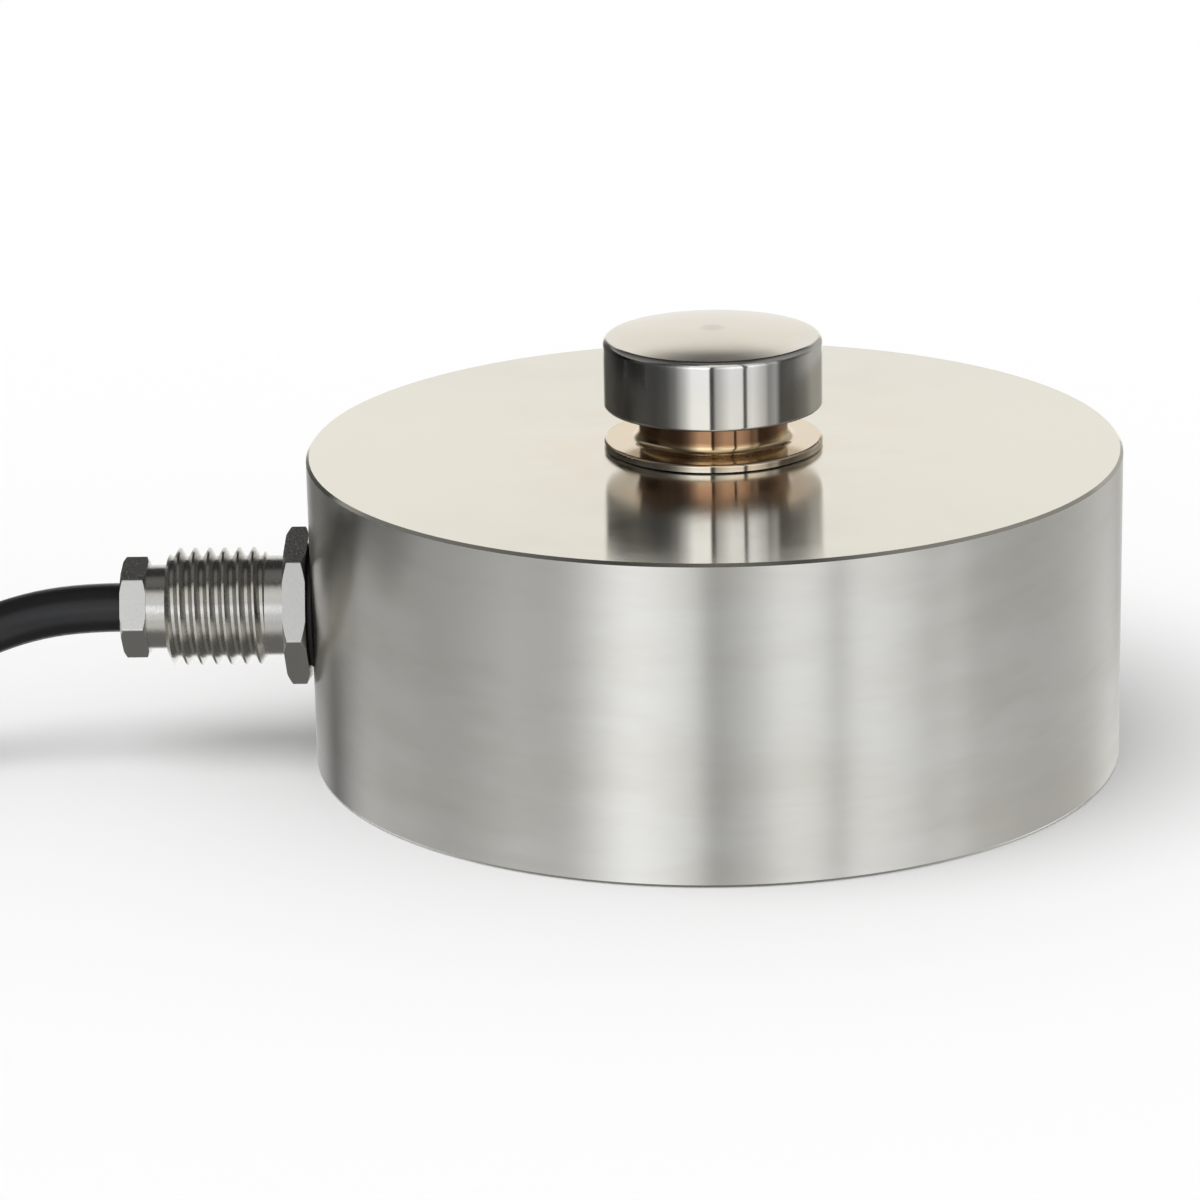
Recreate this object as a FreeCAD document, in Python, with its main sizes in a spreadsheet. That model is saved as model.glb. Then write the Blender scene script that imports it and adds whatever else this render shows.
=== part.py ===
import FreeCAD, Part
import math
import os

import Sketcher

# Compression load cell. Millimetres; the foot stands on z = 0, the load comes down the Z axis,
# and the cable leaves along -X.

doc = FreeCAD.newDocument("LoadCell")
V = FreeCAD.Vector

# Driving sizes
SIZES = {
    "fit_clearance": 0.05,
    "body_diameter": 82,
    "body_height": 32,
    "body_chamfer": 0.3,
    "foot_ring_width": 8,
    "cover_ledge": 3,
    "cover_thickness": 2,
    "cover_recess": 0.5,
    "diaphragm_thickness": 10,
    "cavity_fillet": 2,
    "hub_diameter": 26,
    "hub_drop": 10,
    "foot_hole_diameter": 4.2,
    "foot_hole_depth": 9,
    "foot_hole_circle": 74,
    "foot_hole_count": 3,
    "button_diameter": 22,
    "button_flange": 0.9,
    "button_undercut": 0.15,
    "button_neck_diameter": 15,
    "button_neck_length": 3.35,
    "button_head": 6.95,
    "button_dome": 0.9,
    "button_rim_round": 0.7,
    "button_edge_round": 0.3,
    "button_neck_round": 0.9,
    "button_spigot_diameter": 12,
    "button_spigot_length": 13.5,
    "gland_height": 15.5,
    "gland_spigot_diameter": 10,
    "gland_spigot_length": 9.4,
    "seal_ring_diameter": 12.6,
    "seal_ring_thickness": 0.7,
    "gland_hex": 14,
    "gland_hex_thickness": 2.3,
    "hex_edge_round": 0.3,
    "gland_relief_diameter": 10.2,
    "gland_relief_length": 2.0,
    "thread_diameter": 12,
    "thread_pitch": 1.5,
    "thread_length": 10.1,
    "seal_bore_diameter": 8.7,
    "gland_seal_length": 4,
    "gland_washer_thickness": 0.5,
    "nut_shank": 2,
    "nut_shank_grip": 4.5,
    "nut_hex": 9,
    "nut_hex_thickness": 2.6,
    "cable_diameter": 5,
    "cable_hole_gap": 0.4,
    "jacket_inside": 14.5,
    "gauge_length": 9,
    "gauge_width": 6,
    "gauge_thickness": 0.1,
    "board_diameter": 40,
    "board_thickness": 1.2,
    "board_screw_diameter": 3,
}

sheet = doc.addObject("Spreadsheet::Sheet", "size")
for row, (alias, number) in enumerate(SIZES.items(), start=1):
    sheet.set(f"A{row}", alias)
    sheet.set(f"B{row}", str(number))
    sheet.setAlias(f"B{row}", alias)
doc.recompute()


def value(formula):
    """The number a size formula has now."""
    return float(sheet.evalExpression(formula))


# Size formulas used by more than one piece
BODY_RADIUS = "size.body_diameter / 2"
TOP = "size.body_height"
COVER_RADIUS = f"({BODY_RADIUS} - size.foot_ring_width)"
CAVITY_RADIUS = f"({COVER_RADIUS} - size.cover_ledge)"
COVER_TOP = "(size.cover_recess + size.cover_thickness)"
CEILING = "(size.body_height - size.diaphragm_thickness)"
HUB_FOOT = f"({CEILING} - size.hub_drop)"
HUB_RADIUS = "size.hub_diameter / 2"
SPIGOT_RADIUS = "size.button_spigot_diameter / 2"
GLAND_RADIUS = "size.gland_spigot_diameter / 2"
CABLE_RADIUS = "size.cable_diameter / 2"
SCREW_RADIUS = "size.board_screw_diameter / 2"
BOARD_RADIUS = "size.board_diameter / 2"

# The gland pieces are drawn along their own +Z, which starts at the spot face on the body's wall
SPOT_FACE = f"sqrt(({BODY_RADIUS}) ^ 2 - (size.seal_ring_diameter / 2) ^ 2)"
HEX_START = "size.seal_ring_thickness"
HEX_END = f"({HEX_START} + size.gland_hex_thickness)"
THREAD_START = f"({HEX_END} + size.gland_relief_length)"
THREAD_END = f"({THREAD_START} + size.thread_length)"
NUT_START = f"({THREAD_END} + size.nut_shank)"
NUT_END = f"({NUT_START} + size.nut_hex_thickness)"
GRIP_START = f"({THREAD_END} - size.nut_shank_grip)"
WASHER_START = f"({GRIP_START} - size.gland_washer_thickness)"
SEAL_START = f"({WASHER_START} - size.gland_seal_length)"
CABLE_HOLE = f"({CABLE_RADIUS} + size.cable_hole_gap / 2)"
HEX_CORNER = "size.gland_hex / 2 / cos(30)"
NUT_CORNER = "size.nut_hex / 2 / cos(30)"


def origin_part(body, role):
    return [f for f in body.Origin.OriginFeatures if f.Role == role][0]


def new_body(name):
    body = doc.addObject("PartDesign::Body", name)
    body.Label = name
    return body


def attach(feature, body, plane):
    feature.AttachmentSupport = (origin_part(body, plane), [""])
    feature.MapMode = "FlatFace"


def new_sketch(body, name, plane="XZ_Plane"):
    sketch = body.newObject("Sketcher::SketchObject", name)
    attach(sketch, body, plane)
    return sketch


def draw(sketch, corners, dome=None):
    """Draws a closed outline whose corners are pairs of size formulas, measured from the origin.

    The side that starts at corner `dome` is an arc centred on the vertical axis.
    """
    first = sketch.GeometryCount
    count = len(corners)
    spots = [V(value(x), value(y), 0) for x, y in corners]
    for i in range(count):
        start, end = spots[i], spots[(i + 1) % count]
        if i == dome:
            rise = end.y - start.y
            radius = (start.x ** 2 + rise ** 2) / (2 * rise)
            centre = V(0, end.y - radius, 0)
            circle = Part.Circle(centre, V(0, 0, 1), radius)
            low = math.atan2(start.y - centre.y, start.x)
            sketch.addGeometry(Part.ArcOfCircle(circle, low, math.pi / 2))
            sketch.addConstraint(Sketcher.Constraint("PointOnObject", first + i, 3, -2))
        else:
            sketch.addGeometry(Part.LineSegment(start, end))
    for i, (x, y) in enumerate(corners):
        side = first + i
        following = first + (i + 1) % count
        sketch.addConstraint(Sketcher.Constraint("Coincident", side, 2, following, 1))
        for kind, axis, formula in (("DistanceX", -2, x), ("DistanceY", -1, y)):
            if formula == "0":
                sketch.addConstraint(Sketcher.Constraint("PointOnObject", side, 1, axis))
            else:
                size = Sketcher.Constraint(kind, -1, 1, side, 1, value(formula))
                sketch.setExpression(f"Constraints[{sketch.addConstraint(size)}]", formula)


def revolve(body, name, corners, dome=None, cut=False):
    """A full turn of an outline round the body's Z axis, added or cut away."""
    sketch = new_sketch(body, name + "_outline")
    draw(sketch, corners, dome)
    turn = body.newObject("PartDesign::Groove" if cut else "PartDesign::Revolution", name)
    turn.Profile = sketch
    turn.ReferenceAxis = (sketch, ["V_Axis"])
    turn.Angle = 360
    doc.recompute()
    return turn


def ring_edges(feature, radius, level):
    """Names of the circular edges at a radius and a level, both size formulas."""
    names = []
    for i, edge in enumerate(feature.Shape.Edges, start=1):
        if edge.Degenerated or not isinstance(edge.Curve, Part.Circle):
            continue
        same_radius = abs(edge.Curve.Radius - value(radius)) < 1e-4
        if same_radius and abs(edge.Curve.Center.z - value(level)) < 1e-4:
            names.append(f"Edge{i}")
    return names


def corner_edges(feature, corner):
    """Names of the straight edges along Z at a hexagon's corners."""
    names = []
    for i, edge in enumerate(feature.Shape.Edges, start=1):
        far = edge.CenterOfMass.projectToPlane(V(), V(0, 0, 1)).Length
        if isinstance(edge.Curve, Part.Line) and abs(far - value(corner)) < 1e-4:
            names.append(f"Edge{i}")
    return names


def fillet(body, name, base, rings, radius):
    """Rounds the circular edges given as pairs of radius and level."""
    rounding = body.newObject("PartDesign::Fillet", name)
    edges = [edge for ring in rings for edge in ring_edges(base, *ring)]
    rounding.Base = (base, edges)
    rounding.setExpression("Radius", radius)
    doc.recompute()
    return rounding


def bore(body, name, plane, radius, depth, offset):
    """A round hole along a plane's normal; offset holds three size formulas."""
    hole = body.newObject("PartDesign::SubtractiveCylinder", name)
    attach(hole, body, plane)
    hole.setExpression("Radius", radius)
    hole.setExpression("Height", depth)
    for axis, formula in zip("xyz", offset):
        hole.setExpression(f"AttachmentOffset.Base.{axis}", formula)
    doc.recompute()
    return hole


def ring(name, inner, outer, start, end):
    body = new_body(name)
    corners = [(inner, start), (outer, start), (outer, end), (inner, end)]
    revolve(body, name + "_turn", corners)
    return body


def on_gland_axis(piece):
    """Turns a piece drawn along +Z so that it points out of the body's wall, along -X."""
    piece.Placement = FreeCAD.Placement(V(), FreeCAD.Rotation(V(0, 1, 0), -90))
    piece.setExpression("Placement.Base.x", f"-({SPOT_FACE})")
    piece.setExpression("Placement.Base.z", "size.gland_height")


def hexagon(body, name, corner, start, thickness, clock):
    """Adds a hexagon with softened edges, its six corners chamfered at both ends."""
    prism = body.newObject("PartDesign::AdditivePrism", name)
    attach(prism, body, "XY_Plane")
    prism.Polygon = 6
    prism.setExpression("Circumradius", corner)
    prism.setExpression("Height", thickness)
    prism.AttachmentOffset = FreeCAD.Placement(V(), FreeCAD.Rotation(V(0, 0, 1), clock))
    prism.setExpression("AttachmentOffset.Base.z", start)
    doc.recompute()
    softening = body.newObject("PartDesign::Fillet", name + "_edges")
    softening.Base = (prism, corner_edges(prism, corner))
    softening.setExpression("Radius", "size.hex_edge_round")
    doc.recompute()
    rim = f"({corner}) * 0.9"
    end = f"{start} + {thickness}"
    beyond = f"({corner}) * 1.2"
    reach = f"({corner}) * 0.3 * tan(30)"
    revolve(body, name + "_low_corners", cut=True, corners=[
        (rim, start), (beyond, f"{start} + {reach}"), (beyond, start)])
    revolve(body, name + "_high_corners", cut=True, corners=[
        (rim, end), (beyond, end), (beyond, f"{end} - {reach}")])


# Cell body: wall, foot ring, diaphragm and hub turned in one piece
cell_body = new_body("cell_body")
CHAMFER_RADIUS = f"{BODY_RADIUS} - size.body_chamfer"
turned = revolve(cell_body, "body_turn", [
    ("0", HUB_FOOT),
    (HUB_RADIUS, HUB_FOOT),
    (HUB_RADIUS, CEILING),
    (CAVITY_RADIUS, CEILING),
    (CAVITY_RADIUS, COVER_TOP),
    (COVER_RADIUS, COVER_TOP),
    (COVER_RADIUS, "0"),
    (CHAMFER_RADIUS, "0"),
    (BODY_RADIUS, "size.body_chamfer"),
    (BODY_RADIUS, f"{TOP} - size.body_chamfer"),
    (CHAMFER_RADIUS, TOP),
    (SPIGOT_RADIUS, TOP),
    (SPIGOT_RADIUS, f"{TOP} - size.button_spigot_length - 0.5"),
    ("0", f"{TOP} - size.button_spigot_length - 0.5"),
])
fillet(cell_body, "diaphragm_rounds", turned,
       [(HUB_RADIUS, CEILING), (CAVITY_RADIUS, CEILING)], "size.cavity_fillet")
bore(cell_body, "gland_spot_face", "YZ_Plane", "size.seal_ring_diameter / 2 + size.fit_clearance",
     BODY_RADIUS, ("0", "size.gland_height", f"-({SPOT_FACE}) - {BODY_RADIUS}"))
bore(cell_body, "gland_hole", "YZ_Plane", GLAND_RADIUS, f"{BODY_RADIUS} - {CAVITY_RADIUS} + 2",
     ("0", "size.gland_height", f"-({BODY_RADIUS})"))
bore(cell_body, "board_screw_hole", "XY_Plane", SCREW_RADIUS, "5", ("0", "0", HUB_FOOT))
foot_hole = bore(cell_body, "foot_hole", "XY_Plane", "size.foot_hole_diameter / 2",
                 "size.foot_hole_depth", ("size.foot_hole_circle / 2", "0", "0"))
foot_holes = cell_body.newObject("PartDesign::PolarPattern", "foot_holes")
foot_holes.Originals = [foot_hole]
foot_holes.Axis = (origin_part(cell_body, "Z_Axis"), [""])
foot_holes.Angle = 360
foot_holes.setExpression("Occurrences", "size.foot_hole_count")
cell_body.Tip = foot_holes

# Load button: domed head on a neck, welded to the body by its flange
load_button = new_body("load_button")
BUTTON_RADIUS = "size.button_diameter / 2"
NECK_RADIUS = "size.button_neck_diameter / 2"
FLANGE_TOP = f"({TOP} + size.button_flange)"
HEAD_FOOT = f"({FLANGE_TOP} + size.button_neck_length)"
HEAD_RIM = f"({HEAD_FOOT} + size.button_head)"
SPIGOT_WALL = f"{SPIGOT_RADIUS} - size.fit_clearance"
button = revolve(load_button, "button_turn", dome=9, corners=[
    ("0", f"{TOP} - size.button_spigot_length"),
    (SPIGOT_WALL, f"{TOP} - size.button_spigot_length"),
    (SPIGOT_WALL, TOP),
    (f"{BUTTON_RADIUS} - size.button_undercut * 2", TOP),
    (BUTTON_RADIUS, f"{TOP} + size.button_undercut"),
    (BUTTON_RADIUS, FLANGE_TOP),
    (NECK_RADIUS, FLANGE_TOP),
    (NECK_RADIUS, HEAD_FOOT),
    (BUTTON_RADIUS, HEAD_FOOT),
    (BUTTON_RADIUS, HEAD_RIM),
    ("0", f"{HEAD_RIM} + size.button_dome"),
])
button = fillet(load_button, "neck_rounds", button,
                [(NECK_RADIUS, FLANGE_TOP), (NECK_RADIUS, HEAD_FOOT)], "size.button_neck_round")
button = fillet(load_button, "head_rim_round", button,
                [(BUTTON_RADIUS, HEAD_RIM)], "size.button_rim_round")
fillet(load_button, "flange_rounds", button,
       [(BUTTON_RADIUS, FLANGE_TOP), (BUTTON_RADIUS, HEAD_FOOT)], "size.button_edge_round")

# Base cover, set back from the foot plane and resting on the ledge
ring("base_cover", "0", f"{COVER_RADIUS} - size.fit_clearance", "size.cover_recess", COVER_TOP)

# Cable gland, from the wall outwards
seal_ring = new_body("gland_seal_ring")
SEAL_OUTER = "size.seal_ring_diameter / 2"
SEAL_INNER = f"({GLAND_RADIUS} + size.fit_clearance)"
EDGE = "size.seal_ring_thickness / 4"
revolve(seal_ring, "seal_ring_turn", [
    (SEAL_INNER, "0"),
    (f"{SEAL_OUTER} - {EDGE}", "0"),
    (SEAL_OUTER, EDGE),
    (SEAL_OUTER, f"{HEX_START} - {EDGE}"),
    (f"{SEAL_OUTER} - {EDGE}", HEX_START),
    (SEAL_INNER, HEX_START),
])
on_gland_axis(seal_ring)

gland_body = new_body("gland_body")
GLAND_WALL = f"{GLAND_RADIUS} - size.fit_clearance"
RELIEF_RADIUS = "size.gland_relief_diameter / 2"
THREAD_RADIUS = "size.thread_diameter / 2"
THREAD_DEPTH = f"({THREAD_RADIUS} - {RELIEF_RADIUS})"
SEAL_BORE = "size.seal_bore_diameter / 2"
gland_turn = revolve(gland_body, "gland_turn", [
    (CABLE_HOLE, "-size.gland_spigot_length"),
    (GLAND_WALL, "-size.gland_spigot_length"),
    (GLAND_WALL, f"{HEX_START} + size.gland_hex_thickness / 2"),
    (RELIEF_RADIUS, f"{HEX_START} + size.gland_hex_thickness / 2"),
    (RELIEF_RADIUS, THREAD_START),
    (THREAD_RADIUS, f"{THREAD_START} + {THREAD_DEPTH} * 0.6"),
    (THREAD_RADIUS, f"{THREAD_END} - {THREAD_DEPTH} * 0.6"),
    (RELIEF_RADIUS, THREAD_END),
    (SEAL_BORE, THREAD_END),
    (SEAL_BORE, SEAL_START),
    (CABLE_HOLE, SEAL_START),
])
# Right-hand thread, run out into the relief at one end and through the end face at the other
groove = new_sketch(gland_body, "thread_groove")
THREAD_ROOT = f"({RELIEF_RADIUS} + size.fit_clearance)"
GROOVE_MIDDLE = f"({THREAD_START} - size.thread_pitch * 0.6)"
ROOT_HALF = "size.thread_pitch / 10"
MOUTH_HALF = f"({ROOT_HALF} + ({THREAD_RADIUS} + 0.1 - {THREAD_ROOT}) * tan(30))"
draw(groove, [
    (THREAD_ROOT, f"{GROOVE_MIDDLE} - {ROOT_HALF}"),
    (f"{THREAD_RADIUS} + 0.1", f"{GROOVE_MIDDLE} - {MOUTH_HALF}"),
    (f"{THREAD_RADIUS} + 0.1", f"{GROOVE_MIDDLE} + {MOUTH_HALF}"),
    (THREAD_ROOT, f"{GROOVE_MIDDLE} + {ROOT_HALF}"),
])
thread = gland_body.newObject("PartDesign::SubtractiveHelix", "thread")
thread.Profile = groove
thread.ReferenceAxis = (groove, ["V_Axis"])
thread.Mode = "pitch-height-angle"
thread.setExpression("Pitch", "size.thread_pitch")
thread.setExpression("Height", "size.thread_length + size.thread_pitch * 1.4")
doc.recompute()
if gland_turn.Shape.Volume - thread.Shape.Volume < 1:
    raise ValueError("the thread cut nothing")
hexagon(gland_body, "gland_hexagon", HEX_CORNER, HEX_START, "size.gland_hex_thickness", 20)
bore(gland_body, "cable_way", "XY_Plane", CABLE_HOLE,
     f"size.gland_spigot_length + {SEAL_START}", ("0", "0", "-size.gland_spigot_length"))
bore(gland_body, "seal_way", "XY_Plane", SEAL_BORE,
     f"{THREAD_END} - {SEAL_START}", ("0", "0", SEAL_START))
on_gland_axis(gland_body)

SEAL_WALL = f"({SEAL_BORE} - size.fit_clearance)"
on_gland_axis(ring("gland_seal", f"{CABLE_RADIUS} + size.fit_clearance", SEAL_WALL,
                   SEAL_START, WASHER_START))
on_gland_axis(ring("gland_washer", CABLE_HOLE, SEAL_WALL, WASHER_START, GRIP_START))

gland_nut = new_body("gland_nut")
revolve(gland_nut, "nut_turn", [
    (CABLE_HOLE, GRIP_START),
    (SEAL_WALL, GRIP_START),
    (SEAL_WALL, f"{NUT_START} + size.nut_hex_thickness / 2"),
    (CABLE_HOLE, f"{NUT_START} + size.nut_hex_thickness / 2"),
])
hexagon(gland_nut, "nut_hexagon", NUT_CORNER, NUT_START, "size.nut_hex_thickness", 20)
bore(gland_nut, "nut_way", "XY_Plane", CABLE_HOLE, f"{NUT_END} - {GRIP_START}",
     ("0", "0", GRIP_START))
on_gland_axis(gland_nut)

# Cable inside the gland, cut back just inside the cell
cable_entry = doc.addObject("Part::Cylinder", "cable_entry")
cable_entry.Label = "cable_entry"
cable_entry.setExpression("Radius", CABLE_RADIUS)
cable_entry.setExpression("Height", f"{NUT_END} + size.jacket_inside")
cable_entry.Placement = FreeCAD.Placement(V(), FreeCAD.Rotation(V(0, 1, 0), -90))
cable_entry.setExpression("Placement.Base.x", f"-({SPOT_FACE}) + size.jacket_inside")
cable_entry.setExpression("Placement.Base.z", "size.gland_height")

# Strain gauges on the underside of the diaphragm, midway between hub and wall
GAUGE_MIDDLE = f"(({HUB_RADIUS} + {CAVITY_RADIUS}) / 2)"
for i in range(4):
    name = f"strain_gauge_{i + 1}"
    gauge = doc.addObject("Part::Box", name)
    gauge.Label = name
    gauge.setExpression("Length", "size.gauge_length")
    gauge.setExpression("Width", "size.gauge_width")
    gauge.setExpression("Height", "size.gauge_thickness")
    angle = 45 + 90 * i
    gauge.Placement = FreeCAD.Placement(V(), FreeCAD.Rotation(V(0, 0, 1), angle))
    near = f"({GAUGE_MIDDLE} - size.gauge_length / 2)"
    side = "(size.gauge_width / 2)"
    gauge.setExpression("Placement.Base.x", f"{near} * cos({angle}) + {side} * sin({angle})")
    gauge.setExpression("Placement.Base.y", f"{near} * sin({angle}) - {side} * cos({angle})")
    gauge.setExpression("Placement.Base.z", f"{CEILING} - size.gauge_thickness")

# Circuit board under the hub, its screw and its trim resistors
BOARD_FOOT = f"({HUB_FOOT} - size.board_thickness)"
ring("circuit_board", f"{SCREW_RADIUS} + 0.1", BOARD_RADIUS, BOARD_FOOT, HUB_FOOT)
board_screw = new_body("board_screw")
screw = revolve(board_screw, "screw_turn", [
    ("0", f"{BOARD_FOOT} - 1.8"),
    (f"{SCREW_RADIUS} * 1.85", f"{BOARD_FOOT} - 1.8"),
    (f"{SCREW_RADIUS} * 1.85", BOARD_FOOT),
    (f"{SCREW_RADIUS} - size.fit_clearance", BOARD_FOOT),
    (f"{SCREW_RADIUS} - size.fit_clearance", f"{HUB_FOOT} + 4.5"),
    ("0", f"{HUB_FOOT} + 4.5"),
])
fillet(board_screw, "screw_head_round", screw,
       [(f"{SCREW_RADIUS} * 1.85", f"{BOARD_FOOT} - 1.8")], "0.6")

chips = []
for angle in (30, 75, 285, 330):
    chip = doc.addObject("Part::Box", f"chip_{angle}")
    chip.Length = 1.6
    chip.Width = 3.2
    chip.Height = 0.55
    chip.Placement = FreeCAD.Placement(V(), FreeCAD.Rotation(V(0, 0, 1), angle))
    chip.setExpression("Placement.Base.x", f"{BOARD_RADIUS} * 0.7 * cos({angle})")
    chip.setExpression("Placement.Base.y", f"{BOARD_RADIUS} * 0.7 * sin({angle})")
    chip.setExpression("Placement.Base.z", f"{BOARD_FOOT} - 0.55")
    chips.append(chip)
resistors = doc.addObject("Part::Compound", "trim_resistors")
resistors.Label = "trim_resistors"
resistors.Links = chips


def smooth_path(points, name=None):
    """Straight runs joined by tangent arcs, as one wire; the radii are printed for a named path."""
    edges = []
    radii = []
    last = points[0]
    for before, corner, after in zip(points, points[1:], points[2:]):
        back = (before - corner).normalize()
        ahead = (after - corner).normalize()
        half_turn = (math.pi - back.getAngle(ahead)) / 2
        reach = 0.48 * min(before.distanceToPoint(corner), corner.distanceToPoint(after))
        radius = reach / math.tan(half_turn)
        radii.append(round(radius, 1))
        start = corner + back * reach
        end = corner + ahead * reach
        inward = (back + ahead).normalize()
        middle = corner + inward * (radius / math.cos(half_turn) - radius)
        edges.append(Part.LineSegment(last, start).toShape())
        edges.append(Part.Arc(start, middle, end).toShape())
        last = end
    edges.append(Part.LineSegment(last, points[-1]).toShape())
    if name:
        print(name, "bend radii", radii)
    return Part.Wire(edges)


def tube(path, radius):
    """A round bar along a path."""
    first = path.Edges[0]
    heading = first.tangentAt(first.FirstParameter)
    circle = Part.makeCircle(radius, first.valueAt(first.FirstParameter), heading)
    bar = path.makePipeShell([Part.Wire(circle)], True, False)
    if abs(bar.Volume) < 0.98 * math.pi * radius ** 2 * path.Length:
        raise ValueError("a tube lost volume along its path")
    return bar


def piece(name, shape):
    feature = doc.addObject("Part::Feature", name)
    feature.Label = name
    feature.Shape = shape


# Gauge wires, bowed for slack between the gauges and the board
ceiling = value(CEILING)
board_top = value(HUB_FOOT)
wires = []
for i in range(4):
    for side in (-1.2, 1.2):
        turn = FreeCAD.Rotation(V(0, 0, 1), 45 + 90 * i)
        near = value(f"{GAUGE_MIDDLE} - size.gauge_length / 2") + 0.8
        top = ceiling - value("size.gauge_thickness")
        rise = top - board_top
        bow = [(near, 0), (near, 0.26), (near + 0.8, 0.5), (near, 0.74), (near, 1)]
        route = [turn.multVec(V(x, side, board_top + share * rise)) for x, share in bow]
        wires.append(tube(smooth_path(route), 0.2))
piece("gauge_wires", Part.makeCompound(wires))

# Cores between the cut jacket and the board
CORES = {"red": (-1, 1, -4.2), "black": (-1, -1, -1.4), "green": (1, -1, 1.4), "white": (1, 1, 4.2)}
CORE_RADIUS = 0.5
axis_height = value("size.gland_height")
jacket_end = value(f"-({SPOT_FACE}) + size.jacket_inside")
board_edge = -value(BOARD_RADIUS)
for colour, (side, level, pad) in CORES.items():
    y = side * 0.75
    z = axis_height + level * 0.75
    low = board_top + CORE_RADIUS
    gap = board_edge - jacket_end
    route = [V(jacket_end, y, z), V(jacket_end + gap * 0.4, y, z),
             V(board_edge, pad, low), V(board_edge + 3.5, pad, low)]
    piece(f"inner_core_{colour}", tube(smooth_path(route), CORE_RADIUS))

# Cable outside the cell: lead, coil and tail. The lead's points are chosen by hand from the nut's face:
# distance outwards, distance sideways, and share of the drop from the gland to the coil's lowest turn.
exit_x = -value(f"{SPOT_FACE} + {NUT_END}")
cable_radius = value(CABLE_RADIUS)
PITCH = 2 * cable_radius + 0.2
COLUMNS = 4
ROWS = 5
TIE_THICKNESS = 1.1
INNER_TURN = 23
outer_turn = INNER_TURN + PITCH * (COLUMNS - 1)
coil_foot = TIE_THICKNESS
first_turn = coil_foot + cable_radius
LEAD = [(0, 0, 1), (4.5, 0, 1), (10.5, -0.4, 0.925), (16.5, -1.6, 0.755), (22.5, -3.8, 0.505),
        (28, -7, 0.255), (33, -11, 0.075), (37.5, -15.5, 0), (42, -20, 0)]
drop = axis_height - first_turn
lead = [V(exit_x - out, side, first_turn + share * drop) for out, side, share in LEAD]
piece("cable_lead", tube(smooth_path(lead, "cable_lead"), cable_radius))

# The coil is one ring; a straight stub, long enough to clear it, joins the lead to its outermost turn
joining = (lead[-1] - lead[-2]).normalize()
spoke = V(-joining.y, joining.x, 0)
stub_length = math.sqrt((outer_turn + 2 * cable_radius) ** 2 - outer_turn ** 2) + 0.3
coil_centre = lead[-1] + joining * stub_length - spoke * outer_turn
coil_centre.z = 0
inner_edge = INNER_TURN - cable_radius
outer_edge = outer_turn + cable_radius
coil_top = coil_foot + PITCH * (ROWS - 1) + 2 * cable_radius
section = Part.makePolygon([V(inner_edge, 0, coil_foot), V(outer_edge, 0, coil_foot),
                            V(outer_edge, 0, coil_top), V(inner_edge, 0, coil_top),
                            V(inner_edge, 0, coil_foot)])
coil = Part.Face(section).revolve(V(), V(0, 0, 1), 360)
coil_rims = [edge for edge in coil.Edges if isinstance(edge.Curve, Part.Circle)]
coil = coil.makeFillet(cable_radius * 0.95, coil_rims)
coil.translate(coil_centre)
stub = Part.makeCylinder(cable_radius, stub_length, lead[-1], joining)
piece("cable_coil", coil.fuse(stub))

# The cable's end lies on the coil: a straight run, a heat-shrink boot and five leads with ferrules
BOOT_RADIUS = 3
BOOT_LENGTH = 12
LEAD_RADIUS = 0.55
FERRULE_RADIUS = 0.8
TAIL = [(5.5, -INNER_TURN), (-4.5, -INNER_TURN)]
tail_level = coil_top + BOOT_RADIUS
tail = [coil_centre + V(x, y, tail_level) for x, y in TAIL]
piece("cable_tail", tube(smooth_path(tail), cable_radius))
heading = (tail[-1] - tail[-2]).normalize()
across = V(-heading.y, heading.x, 0)
boot = Part.makeCylinder(BOOT_RADIUS, BOOT_LENGTH, tail[-1], heading)
boot_rims = [edge for edge in boot.Edges if isinstance(edge.Curve, Part.Circle)]
piece("cable_boot", boot.makeFillet(0.4, boot_rims))
boot_end = tail[-1] + heading * BOOT_LENGTH
ferrules = []
for i, colour in enumerate(("red", "black", "green", "white", "shield")):
    fan = math.radians(8 * (i - 2))
    way = heading * math.cos(fan) + across * math.sin(fan)
    root = boot_end + across * (1.15 * (i - 2))
    run = [root, root + heading * 6, root + heading * 6 + way * 12]
    if i == 2:
        run = [root, root + heading * 18]
    piece(f"lead_{colour}", tube(smooth_path(run), LEAD_RADIUS))
    ferrules.append(Part.makeCylinder(FERRULE_RADIUS, 6, run[-1], way))
piece("wire_ferrules", Part.makeCompound(ferrules))


def rounded_across(block, radius):
    """A block with its four edges along Y rounded."""
    along_y = [edge for edge in block.Edges if abs(edge.tangentAt(edge.FirstParameter).y) > 0.9]
    return block.makeFillet(radius, along_y)


# Cable ties round the coil's bundle, each with its head on the outside
TIE_WIDTH = 2.6
TIE_GAP = 0.1
for i, angle in enumerate((100, 190), start=1):
    low = V(inner_edge - TIE_GAP, -TIE_WIDTH / 2, coil_foot)
    bundle_width = outer_edge - inner_edge + 2 * TIE_GAP
    bundle_height = coil_top - coil_foot + TIE_GAP
    bundle = Part.makeBox(bundle_width, TIE_WIDTH, bundle_height, low)
    band = Part.makeBox(bundle_width + 2 * TIE_THICKNESS, TIE_WIDTH,
                        bundle_height + 2 * TIE_THICKNESS, low - V(TIE_THICKNESS, 0, TIE_THICKNESS))
    bundle = rounded_across(bundle, cable_radius * 0.9)
    band = rounded_across(band, cable_radius * 0.9 + TIE_THICKNESS)
    head_foot = V(outer_edge + TIE_GAP + TIE_THICKNESS / 2, -2.3, coil_top - 8)
    head = Part.makeBox(3.2, 4.6, 4.6, head_foot)
    tie = band.fuse(head).cut(bundle)
    tie.rotate(V(), V(0, 0, 1), angle)
    tie.translate(coil_centre)
    piece(f"cable_tie_{i}", tie)

doc.recompute()

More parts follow.
